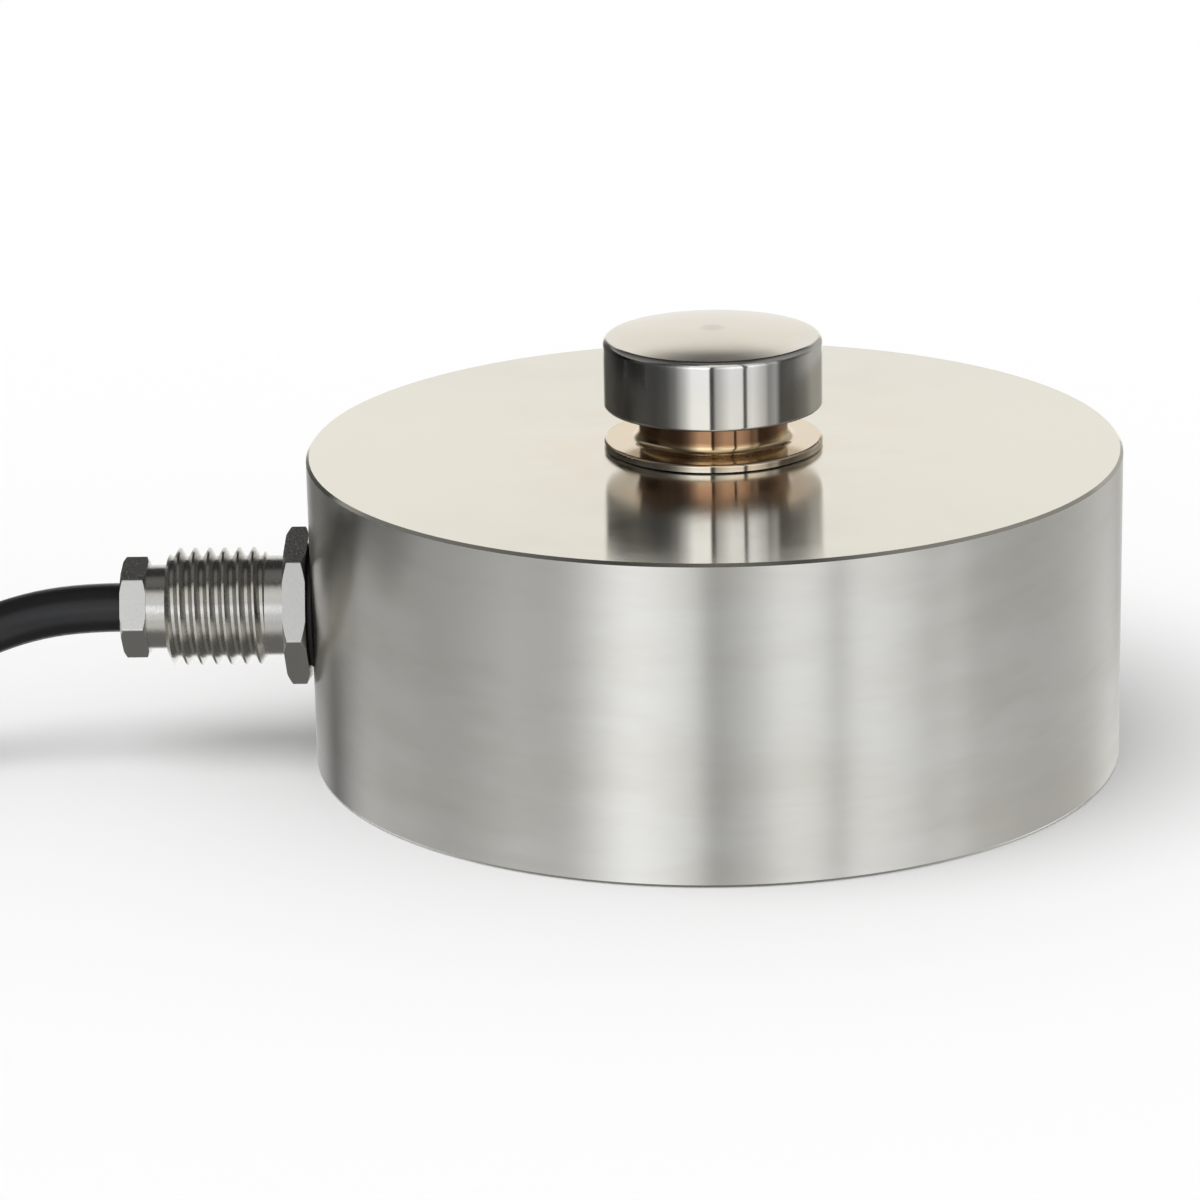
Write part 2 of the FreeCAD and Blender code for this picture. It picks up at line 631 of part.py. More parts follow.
# Every object is checked, then each sub-part is written
for thing in doc.Objects:
    if "Invalid" in thing.State or "Error" in thing.State:
        raise ValueError(f"{thing.Label} did not build: {thing.State}")
os.makedirs("parts", exist_ok=True)
for thing in doc.Objects:
    inside_another = thing.getParentGeoFeatureGroup() is not None or thing in chips
    if inside_another or not hasattr(thing, "Shape"):
        continue
    if thing.Shape.isNull() or not thing.Shape.isValid() or not thing.Shape.Solids:
        raise ValueError(f"{thing.Label} is not a valid solid")
    thing.Shape.exportStep(f"parts/{thing.Label}.step")
    box = thing.Shape.BoundBox
    print(thing.Label, "volume", round(thing.Shape.Volume, 2), "box",
          [round(n, 2) for n in (box.XMin, box.YMin, box.ZMin, box.XMax, box.YMax, box.ZMax)])
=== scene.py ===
import math

import bmesh
import bpy
from bpy.props import FloatProperty, FloatVectorProperty, IntProperty, PointerProperty
from mathutils import Matrix, Vector


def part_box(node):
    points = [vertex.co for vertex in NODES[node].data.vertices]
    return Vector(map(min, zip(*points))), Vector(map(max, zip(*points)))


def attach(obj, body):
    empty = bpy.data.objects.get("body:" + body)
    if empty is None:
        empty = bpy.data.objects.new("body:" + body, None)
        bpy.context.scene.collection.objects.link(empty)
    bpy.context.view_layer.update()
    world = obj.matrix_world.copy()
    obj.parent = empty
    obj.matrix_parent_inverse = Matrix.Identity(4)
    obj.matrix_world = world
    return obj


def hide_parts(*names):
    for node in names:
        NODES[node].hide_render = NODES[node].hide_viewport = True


bl_info = {
    "name": "Compression load cell",
    "version": (1, 0, 0),
    "blender": (4, 5, 0),
    "location": "3D View > Sidebar > Load cell",
    "description": "Gives a compression load cell its metals, cable and studio",
    "category": "Object",
}

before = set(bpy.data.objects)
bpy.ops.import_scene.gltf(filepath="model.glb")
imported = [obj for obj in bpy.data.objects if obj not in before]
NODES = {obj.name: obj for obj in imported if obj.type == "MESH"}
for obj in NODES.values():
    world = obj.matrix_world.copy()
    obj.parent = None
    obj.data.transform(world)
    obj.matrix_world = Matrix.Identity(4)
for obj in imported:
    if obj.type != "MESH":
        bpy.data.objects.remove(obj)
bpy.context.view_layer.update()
MM = 0.001

# Places read from the solids
BODY_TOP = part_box("cell_body")[1].z
ENTRY_LOW, ENTRY_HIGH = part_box("cable_entry")
COIL_LOW, COIL_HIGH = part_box("cable_coil")
TAIL_LOW, TAIL_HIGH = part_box("cable_tail")
CABLE_EXIT = Vector((ENTRY_LOW.x, 0, (ENTRY_LOW.z + ENTRY_HIGH.z) / 2))
COIL_RADIUS = (COIL_HIGH.y - COIL_LOW.y) / 2
COIL_CENTRE = Vector((COIL_LOW.x + COIL_RADIUS, COIL_LOW.y + COIL_RADIUS, 0))


def hex_colour(code):
    """An sRGB hex colour as linear red, green, blue and alpha."""
    channels = [int(code[i:i + 2], 16) / 255 for i in (0, 2, 4)]
    linear = [c / 12.92 if c <= 0.04045 else ((c + 0.055) / 1.055) ** 2.4 for c in channels]
    return (*linear, 1.0)


def colour_property(name, code, description):
    """A colour that a user may change, with an sRGB hex colour as its default."""
    return FloatVectorProperty(name=name, description=description, default=hex_colour(code),
                               size=4, min=0, max=1, subtype="COLOR")


class LoadCellFinish(bpy.types.PropertyGroup):
    """Colours and surface sizes of the cell's metals and plastics"""

    steel: colour_property("Steel", "DCDBD6", "Bare stainless steel of the body")
    top: colour_property("Top steel", "DDD9CD", "Polished stainless steel of the top")
    button: colour_property("Button steel", "DCDAD5", "Bare stainless steel of the load button")
    # Painted reflection tone: the dome's steel is coloured warmer and darker than the rest of the button,
    # for the tone of what the dome mirrors
    dome: colour_property("Dome steel", "D5CEC1", "Faintly stained stainless steel of the button's dome")
    spot: colour_property("Dome spot", "B2ADA4", "Dull spot in the middle of the button's dome")
    worn: colour_property("Worn steel", "D0CDC4", "Faint clouds on the turned side")
    straw: colour_property("Straw tint", "D8C7AF", "Thin oxide next to the button's weld")
    gold: colour_property("Gold tint", "E0C79A", "Thicker oxide at the foot of the button's neck")
    # Partly painted shade: this oxide colour is made darker for the shade that falls on the neck under the
    # button's head
    bronze_and_shade: colour_property("Bronze tint", "A27D61", "Thickest oxide, up the button's neck")
    gland: colour_property("Gland", "C9C7C1", "Nickel plating of the cable gland")
    jacket: colour_property("Cable jacket", "151516", "Black PVC of the cable")
    side_roughness: FloatProperty(name="Side roughness", default=0.3, min=0, max=1,
                                  description="Roughness of the turned side")
    top_roughness: FloatProperty(name="Top roughness", default=0.11, min=0, max=1,
                                 description="Roughness of the polished top")
    button_roughness: FloatProperty(name="Button roughness", default=0.1, min=0, max=1,
                                    description="Roughness of the polished load button")
    feed: FloatProperty(name="Turning feed", default=0.25 * MM, min=0.02 * MM, unit="LENGTH",
                        description="Distance between turning lines, coarser than real so that they show")


class LoadCellCable(bpy.types.PropertyGroup):
    """Sizes of the cable"""

    diameter: FloatProperty(name="Diameter", default=ENTRY_HIGH.z - ENTRY_LOW.z, unit="LENGTH",
                            description="Outside diameter of the jacket")
    length: FloatProperty(name="Length", default=3.0, unit="LENGTH",
                          description="Length from the gland to the cut jacket")
    pitch: FloatProperty(name="Turn spacing", default=5.2 * MM, unit="LENGTH",
                         description="Distance between neighbouring turns of the coil")
    columns: IntProperty(name="Columns", default=4, min=2,
                         description="Turns side by side in the coil")
    rows: IntProperty(name="Rows", default=5, min=1, description="Layers of turns in the coil")


class LoadCellStudio(bpy.types.PropertyGroup):
    """Camera, light and floor"""

    distance: FloatProperty(name="Distance", default=483.36 * MM, unit="LENGTH",
                            description="From the camera to the middle of the foot")
    elevation: FloatProperty(name="Elevation", default=math.radians(19.370), subtype="ANGLE",
                             description="Height angle of the camera")
    pan: FloatProperty(name="Pan", default=math.radians(-1.4057), subtype="ANGLE",
                       description="Turn of the view to the right, away from the foot's middle")
    tilt: FloatProperty(name="Tilt", default=math.radians(1.7713), subtype="ANGLE",
                        description="Turn of the view upwards, away from the foot's middle")
    roll: FloatProperty(name="Roll", default=math.radians(-0.6242), subtype="ANGLE",
                        description="Turn of the view about its own line")
    focal_length: FloatProperty(name="Focal length", default=141.1, subtype="DISTANCE_CAMERA",
                                description="Lens for a sensor 36 mm wide")
    light: FloatProperty(name="Light", default=1.2, min=0,
                         description="Strength of the soft light from above")
    light_spread: FloatProperty(name="Light spread", default=math.radians(50), subtype="ANGLE",
                                description="Angle across the soft light, which softens its shadows")
    floor_radius: FloatProperty(name="Floor radius", default=4.0, unit="LENGTH",
                                description="Radius of the pale floor")


def add_node(tree, kind, inputs=None, **settings):
    """Adds a node, sets its properties, and sets or links its inputs."""
    node = tree.nodes.new(kind)
    for name, setting in settings.items():
        setattr(node, name, setting)
    for name, source in (inputs or {}).items():
        if isinstance(source, bpy.types.NodeSocket):
            tree.links.new(source, node.inputs[name])
        else:
            node.inputs[name].default_value = source
    return node


def fill_ramp(ramp, stops):
    """Gives a colour ramp its stops, each a place from 0 to 1 and a colour, in rising order."""
    while len(ramp.elements) < len(stops):
        ramp.elements.new(1.0)
    for element, (place, colour) in zip(ramp.elements, stops):
        element.position = place
        element.color = colour


def new_material(name, **sockets):
    """A material with one Principled shader; returns it, its tree, shader and object coordinates."""
    material = bpy.data.materials.new(name)
    material.use_nodes = True
    tree = material.node_tree
    shader = tree.nodes["Principled BSDF"]
    for socket, number in sockets.items():
        shader.inputs[socket.replace("_", " ")].default_value = number
    place = add_node(tree, "ShaderNodeTexCoord").outputs["Object"]
    return material, tree, shader, place


def dress(node, *materials):
    """Puts materials on a solid of the frame."""
    mesh = NODES[node].data
    mesh.materials.clear()
    for material in materials:
        mesh.materials.append(material)
    return NODES[node]


def fine_texture(tree, shader, texture, roughness, spread, strength, depth):
    """Lets a texture vary a surface's roughness by `spread` either way, and raises it a little."""
    gloss = add_node(tree, "ShaderNodeMapRange", {
        "Value": texture, "From Min": 0.3, "From Max": 0.7,
        "To Min": roughness - spread, "To Max": roughness + spread})
    tree.links.new(gloss.outputs["Result"], shader.inputs["Roughness"])
    bump = add_node(tree, "ShaderNodeBump", {
        "Height": texture, "Strength": strength, "Distance": depth})
    tree.links.new(bump.outputs["Normal"], shader.inputs["Normal"])


# Metals

QUARTER_TURN = 0.25


def ring_grain(tree, shader, strength):
    """Runs a metal's grain in rings round the cell's axis, so that reflections draw out across them."""
    rings = add_node(tree, "ShaderNodeTangent", direction_type="RADIAL", axis="Z")
    tree.links.new(rings.outputs["Tangent"], shader.inputs["Tangent"])
    shader.inputs["Anisotropic"].default_value = strength
    shader.inputs["Anisotropic Rotation"].default_value = QUARTER_TURN


def tint_steel(tree, shader, cloud, plain, tint, share):
    """Clouds of a tint over a plain metal colour; `share` is a number or a socket."""
    spread = add_node(tree, "ShaderNodeMapRange", {
        "Value": cloud, "From Min": 0.35, "From Max": 0.7, "To Max": share},
        interpolation_type="SMOOTHSTEP")
    blend = add_node(tree, "ShaderNodeMix", {
        0: spread.outputs["Result"], 6: plain, 7: tint}, data_type="RGBA")
    tree.links.new(blend.outputs[2], shader.inputs["Base Color"])


def axis_distance(tree, place):
    """Distance from the cell's axis."""
    flat = add_node(tree, "ShaderNodeVectorMath", {0: place, 1: (1, 1, 0)}, operation="MULTIPLY")
    length = add_node(tree, "ShaderNodeVectorMath", {0: flat.outputs["Vector"]}, operation="LENGTH")
    return length.outputs["Value"]


def turned_steel(finish):
    """Stainless steel turned on a lathe: fine rings that draw reflections out up and down.

    Faint clouds, wider than high, keep the side from looking new.
    """
    material, tree, shader, place = new_material("stainless steel, turned satin", Metallic=1.0)
    ring_grain(tree, shader, strength=0.85)
    # Noise drawn out into rings: few cells to a metre along the side, and one for each feed up it
    cells_per_metre = 18
    rings = add_node(tree, "ShaderNodeMapping", {
        "Vector": place, "Scale": (cells_per_metre, cells_per_metre, 1 / finish.feed)})
    lines = add_node(tree, "ShaderNodeTexNoise", {
        "Vector": rings.outputs["Vector"], "Scale": 1.0, "Detail": 2.0, "Roughness": 0.6})
    fine_texture(tree, shader, lines.outputs["Fac"], finish.side_roughness, spread=0.02,
                 strength=0.05, depth=0.005 * MM)
    cloud_width, cloud_height = 24 * MM, 7 * MM
    clouds = add_node(tree, "ShaderNodeMapping", {
        "Vector": place, "Scale": (1 / cloud_width, 1 / cloud_width, 1 / cloud_height)})
    cloud = add_node(tree, "ShaderNodeTexNoise", {
        "Vector": clouds.outputs["Vector"], "Scale": 1.0, "Detail": 4.0, "Roughness": 0.6})
    tint_steel(tree, shader, cloud.outputs["Fac"], finish.steel, finish.worn, 0.75)
    return material


def polished_steel(name, roughness, grain):
    """Stainless steel, turned and polished: a mirror with a slight, uneven haze."""
    material, tree, shader, place = new_material(name, Metallic=1.0)
    ring_grain(tree, shader, grain)
    haze = add_node(tree, "ShaderNodeTexNoise", {
        "Vector": place, "Scale": 1 / (6 * MM), "Detail": 4.0, "Roughness": 0.6})
    gloss = add_node(tree, "ShaderNodeMapRange", {
        "Value": haze.outputs["Fac"], "From Min": 0.3, "From Max": 0.7,
        "To Min": roughness * 0.85, "To Max": roughness * 1.15})
    tree.links.new(gloss.outputs["Result"], shader.inputs["Roughness"])
    return material, tree, shader, place


def top_steel(finish):
    """The polished top: rings left by the lathe draw reflections out towards its edge.

    Faint straw clouds show where the button's weld warmed it.
    """
    material, tree, shader, place = polished_steel(
        "stainless steel, polished top", finish.top_roughness, grain=0.95)
    warmed = add_node(tree, "ShaderNodeMapRange", {
        "Value": axis_distance(tree, place), "From Min": 30 * MM, "From Max": 11 * MM, "To Max": 0.35},
        interpolation_type="SMOOTHSTEP")
    cloud = add_node(tree, "ShaderNodeTexNoise", {
        "Vector": place, "Scale": 1 / (9 * MM), "Detail": 4.0, "Roughness": 0.55})
    tint_steel(tree, shader, cloud.outputs["Fac"], finish.top, finish.straw, warmed.outputs["Result"])
    return material


def button_steel(finish):
    """Polished stainless steel with temper colours, straw to a dark brown, above the weld at its foot. The
    brown up the neck is darker than its oxide, as painted shade under the head.

    Rings left by the lathe draw reflections out up and down, and leave a dull spot in the dome's middle.
    """
    material, tree, shader, place = polished_steel(
        "stainless steel, polished, weld tint", finish.button_roughness, grain=0.93)
    # Millimetres above the cell's top at which each colour stands, and that the ramp covers
    # The oxide colour up the neck is also painted shade under the head
    tints = [(0.715, finish.button), (1.17, finish.straw), (1.56, finish.straw), (2.08, finish.gold),
             (2.73, finish.bronze_and_shade), (4.42, finish.bronze_and_shade), (5.005, finish.button),
             # The dome's colour is a painted reflection tone
             (11.44, finish.button), (12.09, finish.dome)]
    covered = 13
    height = add_node(tree, "ShaderNodeSeparateXYZ", {"Vector": place}).outputs["Z"]
    cloud = add_node(tree, "ShaderNodeTexNoise", {
        "Vector": place, "Scale": 1 / (5 * MM), "Detail": 3.0})
    drift = add_node(tree, "ShaderNodeMath", {
        0: cloud.outputs["Fac"], 1: 1.2 * MM, 2: height}, operation="MULTIPLY_ADD")
    rise = add_node(tree, "ShaderNodeMapRange", {
        "Value": drift.outputs["Value"], "From Min": BODY_TOP, "From Max": BODY_TOP + covered * MM})
    oxide = add_node(tree, "ShaderNodeValToRGB", {"Fac": rise.outputs["Result"]})
    fill_ramp(oxide.color_ramp, [(above / covered, colour) for above, colour in tints])
    centre = add_node(tree, "ShaderNodeMapRange", {
        "Value": axis_distance(tree, place), "From Min": 1.7 * MM, "From Max": 0.6 * MM, "To Max": 0.5},
        interpolation_type="SMOOTHSTEP")
    marked = add_node(tree, "ShaderNodeMix", {
        0: centre.outputs["Result"], 6: oxide.outputs["Color"], 7: finish.spot}, data_type="RGBA")
    tree.links.new(marked.outputs[2], shader.inputs["Base Color"])
    return material


def satin_metal(name, colour, roughness, grain):
    """Plated or rolled metal with a fine, even grain that softens its gloss."""
    material, tree, shader, place = new_material(name, Base_Color=colour, Metallic=1.0)
    speck = add_node(tree, "ShaderNodeTexNoise", {
        "Vector": place, "Scale": 1 / grain, "Detail": 3.0, "Roughness": 0.6})
    fine_texture(tree, shader, speck.outputs["Fac"], roughness, spread=0.06, strength=0.12, depth=0.02 * MM)
    return material


# Plastics and rubber


def moulded_plastic(name, colour, roughness):
    """Moulded or extruded plastic or rubber: an even colour with a faint skin texture."""
    material, tree, shader, place = new_material(name, Base_Color=colour, IOR=1.5)
    skin = add_node(tree, "ShaderNodeTexNoise", {
        "Vector": place, "Scale": 1 / (0.4 * MM), "Detail": 3.0})
    fine_texture(tree, shader, skin.outputs["Fac"], roughness, spread=0.05, strength=0.15, depth=0.03 * MM)
    return material


# Pieces

# Faces that look up from within this depth of the cell's top belong to the polished top
POLISH_DEPTH = 0.5 * MM


class LOADCELL_OT_body(bpy.types.Operator):
    """Gives the body its turned side and polished top, and the base cover its satin"""

    bl_idname = "loadcell.body"
    bl_label = "Cell body"

    def execute(self, context):
        finish = context.scene.load_cell_finish
        body = dress("cell_body", turned_steel(finish), top_steel(finish))
        for face in body.data.polygons:
            on_top = face.normal.z > 0.5 and face.center.z > BODY_TOP - POLISH_DEPTH
            face.material_index = 1 if on_top else 0
        dress("base_cover", satin_metal("stainless sheet, rolled", finish.steel, 0.35, 0.3 * MM))
        return {"FINISHED"}


class LOADCELL_OT_button(bpy.types.Operator):
    """Gives the load button its polish and weld tint"""

    bl_idname = "loadcell.button"
    bl_label = "Load button"

    def execute(self, context):
        dress("load_button", button_steel(context.scene.load_cell_finish))
        return {"FINISHED"}


class LOADCELL_OT_gland(bpy.types.Operator):
    """Gives the cable gland's pieces their plating and rubber"""

    bl_idname = "loadcell.gland"
    bl_label = "Cable gland"

    def execute(self, context):
        finish = context.scene.load_cell_finish
        plating = satin_metal("nickel plating, satin", finish.gland, 0.22, 0.25 * MM)
        rubber = moulded_plastic("nitrile rubber, moulded", hex_colour("161616"), 0.6)
        for node in ("gland_body", "gland_nut", "gland_washer"):
            dress(node, plating)
        for node in ("gland_seal_ring", "gland_seal"):
            dress(node, rubber)
        return {"FINISHED"}


CORE_COLOURS = {"red": "B3201F", "black": "1A1A1A", "green": "1F7A3C", "white": "E9E7E2"}

# Listed points of the cable's free run: metres out from the nut, metres sideways, and share
# of the drop from the gland to the coil's lowest turn. Then its end on top, from the coil's centre.
LEAD = [(0, 0, 1), (0.0045, 0, 1), (0.0105, -0.0004, 0.925), (0.0165, -0.0016, 0.755),
        (0.0225, -0.0038, 0.505), (0.028, -0.007, 0.255), (0.033, -0.011, 0.075), (0.0375, -0.0155, 0),
        (0.042, -0.020, 0)]
TAIL = [(0.0055, -0.023), (-0.0045, -0.023)]
JOIN_ANGLE = math.radians(-45)
POINTS_PER_TURN = 24

# Shares of a turn: where a change of column, of row and the last climb start, and over how much they go
COLUMN_START, COLUMN_SPAN = 0.6, 0.35
ROW_SPAN = 0.3
CLIMB_START, CLIMB_SPAN = 0.75, 0.35


def eased(share):
    """0 to 1 with a soft start and stop."""
    share = min(1, max(0, share))
    return share * share * (3 - 2 * share)


def coil_points(cable, foot, top):
    """The turns of the coil, row on row, each row wound back across the columns of the one below.

    A turn changes column near the end of its round and row near its start, so no two turns meet.
    The last turn ends inside and climbs to the top.
    """
    outer = COIL_RADIUS - cable.diameter / 2
    shifts = cable.columns - 1
    turns = shifts * cable.rows
    points = []
    for step in range(-1, turns * POINTS_PER_TURN + 2):
        turn = max(0, (step + 0.5) / POINTS_PER_TURN)
        whole = min(int(turn), turns - 1)
        part = turn - whole
        row, across = divmod(whole, shifts)
        column = across + eased((part - COLUMN_START) / COLUMN_SPAN)
        if row % 2:
            column = shifts - column
        level = foot + row * cable.pitch
        if row and across == 0:
            level -= cable.pitch * (1 - eased(part / ROW_SPAN))
        if whole == turns - 1:
            level += (top - level) * eased((part - CLIMB_START) / CLIMB_SPAN)
        radius = (outer - column * cable.pitch) / math.cos(math.pi / POINTS_PER_TURN)
        angle = JOIN_ANGLE - math.tau * (step + 0.5) / POINTS_PER_TURN
        points.append(COIL_CENTRE + Vector((radius * math.cos(angle), radius * math.sin(angle), level)))
    return points


class LOADCELL_OT_cable_end(bpy.types.Operator):
    """Gives the boot, leads, ferrules and ties on the cable their finishes"""

    bl_idname = "loadcell.cable_end"
    bl_label = "Cable end and ties"

    def execute(self, context):
        dress("cable_boot", moulded_plastic("heat-shrink polyolefin", hex_colour("202021"), 0.5))
        dress("wire_ferrules", satin_metal("tinned copper", hex_colour("D5D6D8"), 0.25, 0.2 * MM))
        dress("lead_shield", moulded_plastic("PVC sleeve, yellow", hex_colour("D8B52A"), 0.4))
        nylon = moulded_plastic("nylon, moulded black", hex_colour("1D1D1E"), 0.38)
        for node in ("cable_tie_1", "cable_tie_2"):
            dress(node, nylon)
        for colour, code in CORE_COLOURS.items():
            insulation = moulded_plastic(f"PVC insulation, {colour}", hex_colour(code), 0.38)
            dress(f"lead_{colour}", insulation)
            dress(f"inner_core_{colour}", insulation)
        return {"FINISHED"}


class LOADCELL_OT_cable(bpy.types.Operator):
    """Makes the cable: its run from the gland, its coil and its end on top"""

    bl_idname = "loadcell.cable"
    bl_label = "Cable"

    def execute(self, context):
        cable = context.scene.load_cell_cable
        finish = context.scene.load_cell_finish
        foot = COIL_LOW.z + cable.diameter / 2
        drop = CABLE_EXIT.z - foot
        points = [Vector((CABLE_EXIT.x - out, side, foot + share * drop)) for out, side, share in LEAD]
        top = (TAIL_LOW.z + TAIL_HIGH.z) / 2
        points += coil_points(cable, foot, top)
        points += [COIL_CENTRE + Vector((x, y, top)) for x, y in TAIL]

        curve = bpy.data.curves.new("cable", "CURVE")
        curve.dimensions = "3D"
        curve.bevel_depth = cable.diameter / 2
        curve.bevel_resolution = 6
        curve.use_fill_caps = True
        spline = curve.splines.new("NURBS")
        spline.points.add(len(points) - 1)
        for knot, point in zip(spline.points, points):
            knot.co = (*point, 1)
        spline.order_u = 3
        spline.use_endpoint_u = True
        spline.resolution_u = 5
        jacket = moulded_plastic("PVC jacket, extruded", finish.jacket, 0.34)
        curve.materials.append(jacket)
        cord = bpy.data.objects.new("cable", curve)
        context.scene.collection.objects.link(cord)
        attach(cord, "root")
        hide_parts("cable_lead", "cable_coil", "cable_tail")
        dress("cable_entry", jacket)
        return {"FINISHED"}


class LOADCELL_OT_inside(bpy.types.Operator):
    """Gives the sealed gauges, board and wires their finishes"""

    bl_idname = "loadcell.inside"
    bl_label = "Inside pieces"

    def execute(self, context):
        gauge = moulded_plastic("polyimide film, amber", hex_colour("C08A35"), 0.35)
        for number in range(1, 5):
            dress(f"strain_gauge_{number}", gauge)
        dress("circuit_board", moulded_plastic("epoxy board, green mask", hex_colour("1F5C3A"), 0.4))
        dress("trim_resistors", moulded_plastic("ceramic chips, dark glaze", hex_colour("2A2A2C"), 0.3))
        dress("gauge_wires", satin_metal("copper wire, enamelled", hex_colour("C9783F"), 0.3, 0.2 * MM))
        dress("board_screw", satin_metal("zinc plating", hex_colour("CFCFCB"), 0.32, 0.2 * MM))
        return {"FINISHED"}


# Stage

# Brightness of the studio's walls by degrees to the right of the camera: first low down, as the turned
# side sees them, then from there up, as the button and the polished top see them. Then of the ceiling,
# from left to right, and the ways to the lamp above the camera and to the soft light overhead.
BELOW = [(-180, 1.3), (-155, 1.0), (-142, 0.1), (-132, 0.85), (-120, 1.25), (-110, 1.0), (-100, 1.05),
         (-90, 0.88), (-80, 0.95), (-60, 1.3), (-45, 1.02), (-38, 1.25), (-28, 1.62), (-15, 1.02),
         (-8, 0.74), (-2, 0.62), (4, 0.62), (12, 0.7), (18, 1.14), (28, 1.12), (31, 0.84), (34, 0.84),
         (38, 1.25), (44, 1.18), (62, 1.1), (70, 1.22), (90, 1.16), (110, 0.86), (130, 0.72), (150, 1.25),
         (180, 1.3)]
ABOVE = [(-180, 1.02), (-167, 1.02), (-160, 0.28), (-152, 0.1), (-130, 0.05), (-118, 0.02), (-98, 0.01),
         (-86, 0.07), (-62, 0.075), (-50, 0.11), (-40, 0.27), (-30, 0.78), (-22, 1.38), (-3.6, 1.48),
         (-3.2, 0.08), (0.9, 0.08), (1.9, 0.55), (18, 1.25), (31.3, 1.2), (32, 0.1), (35, 0.1), (36, 1.05),
         (42, 1.15), (57, 0.66), (60, 0.36), (69, 0.5), (75, 0.09), (92, 0.14), (122, 0.5), (160, 0.5),
         (167, 1.02), (180, 1.02)]
CEILING = [(-1, 0.3), (-0.5, 0.14), (-0.25, 0.04), (0, 0.03), (0.25, 0.05), (0.5, 0.25), (1, 0.4)]
LAMP_WAY = Vector((0.1, -0.68, 0.72)).normalized()
SKY_WAY = Vector((-0.35, -0.25, 1.0))
WHITE = (1, 1, 1, 1)
FLOOR_GAP = 0.02 * MM


def brightness_ramp(tree, place, levels):
    """A ramp of greys over a number, of levels given by place."""
    low, high = levels[0][0], levels[-1][0]
    peak = max(level for _, level in levels)
    share = add_node(tree, "ShaderNodeMapRange", {"Value": place, "From Min": low, "From Max": high})
    greys = add_node(tree, "ShaderNodeValToRGB", {"Fac": share.outputs["Result"]})
    fill_ramp(greys.color_ramp, [((at - low) / (high - low), (level / peak, level / peak, level / peak, 1))
                                 for at, level in levels])
    scaled = add_node(tree, "ShaderNodeVectorMath", {0: greys.outputs["Color"], "Scale": peak},
                      operation="SCALE")
    return scaled.outputs["Vector"]


def lay_over(tree, under, colour, *edges):
    """Lays a colour over another where all edges allow it; an edge is a number and its two ends.

    Each edge lets the colour in softly as its number goes from the first end to the second.
    """
    share = 1.0
    for place, start, stop in edges:
        edge = add_node(tree, "ShaderNodeMapRange", {
            "Value": place, "From Min": start, "From Max": stop}, interpolation_type="SMOOTHSTEP")
        both = add_node(tree, "ShaderNodeMath", {
            0: edge.outputs["Result"], 1: share}, operation="MULTIPLY")
        share = both.outputs["Value"]
    blend = add_node(tree, "ShaderNodeMix", {0: share, 6: under, 7: colour}, data_type="RGBA")
    return blend.outputs[2]


def studio_walls(tree, right, towards, height):
    """Pale walls and dark cards: cool in front and brighter above eye level, warm beside and behind."""
    turn = add_node(tree, "ShaderNodeMath", {0: right, 1: towards}, operation="ARCTAN2")
    degrees = add_node(tree, "ShaderNodeMath", {0: turn.outputs["Value"]}, operation="DEGREES")
    degrees = degrees.outputs["Value"]
    aside = add_node(tree, "ShaderNodeMath", {0: right}, operation="ABSOLUTE").outputs["Value"]
    in_front = (towards, 0.0, 0.4)
    behind = (towards, 0.4, 0.0)
    above_eye = (height, -0.06, 0.06)

    shaded = lay_over(tree, WHITE, (0.62, 0.62, 0.62, 1), (aside, 0.74, 0.92), above_eye)
    warm = add_node(tree, "ShaderNodeVectorMath", {0: shaded, 1: (1, 0.99, 0.965)}, operation="MULTIPLY")
    cool = lay_over(tree, (0.79, 0.8, 0.82, 1), (1.15, 1.18, 1.24, 1), above_eye)
    tone = lay_over(tree, warm.outputs["Vector"], cool, in_front)
    upper = add_node(tree, "ShaderNodeVectorMath", {
        0: brightness_ramp(tree, degrees, ABOVE), 1: tone}, operation="MULTIPLY")
    walls = lay_over(tree, brightness_ramp(tree, degrees, BELOW), upper.outputs["Vector"],
                     (height, -0.33, -0.31))
    dim = add_node(tree, "ShaderNodeVectorMath", {0: walls, 1: (0.6, 0.6, 0.6)}, operation="MULTIPLY")
    walls = lay_over(tree, walls, dim.outputs["Vector"], in_front, (height, 0.3, 0.38))
    return lay_over(tree, walls, (0.34, 0.34, 0.33, 1), (aside, 0.3, 0.6), behind, (height, 0.31, 0.37))


